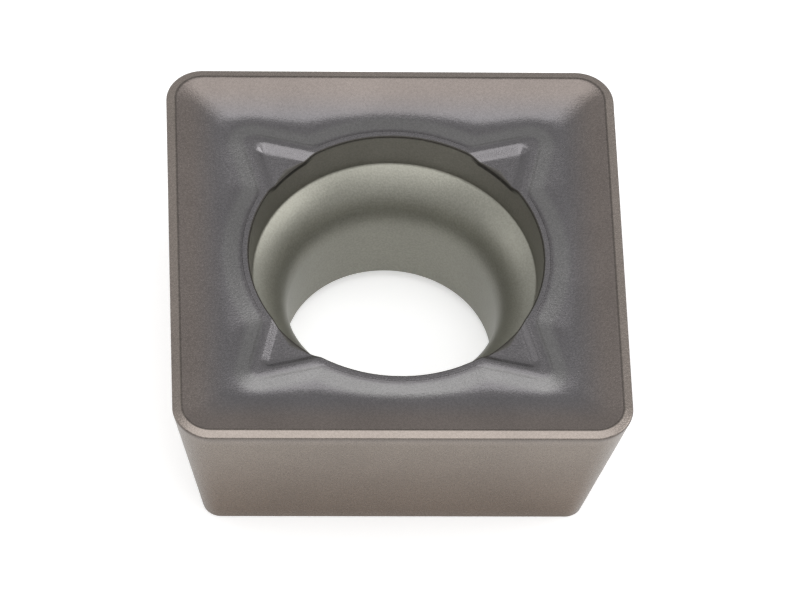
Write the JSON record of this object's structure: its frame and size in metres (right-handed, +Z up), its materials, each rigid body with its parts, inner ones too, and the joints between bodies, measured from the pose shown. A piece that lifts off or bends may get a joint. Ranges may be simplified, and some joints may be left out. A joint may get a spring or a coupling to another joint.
{
  "type": "carbide insert",
  "caption": "Square positive cutting insert of coated sintered carbide, with a ring-and-star chip groove and a countersunk screw hole.",
  "frame": {"origin": "middle of the flat seat face, on the axis of the screw hole", "axes": "+Z up along the screw hole, from the seat face to the cutting edges; +X and +Y square to the flanks"},
  "size_m": [0.0096, 0.0096, 0.004],
  "materials": {
    "coated_carbide": "thin violet-bronze hard coating over fine-grained sintered carbide, satin"
  },
  "bodies": {
    "root": {"insert_body": "coated_carbide"}
  },
  "joints": []
}
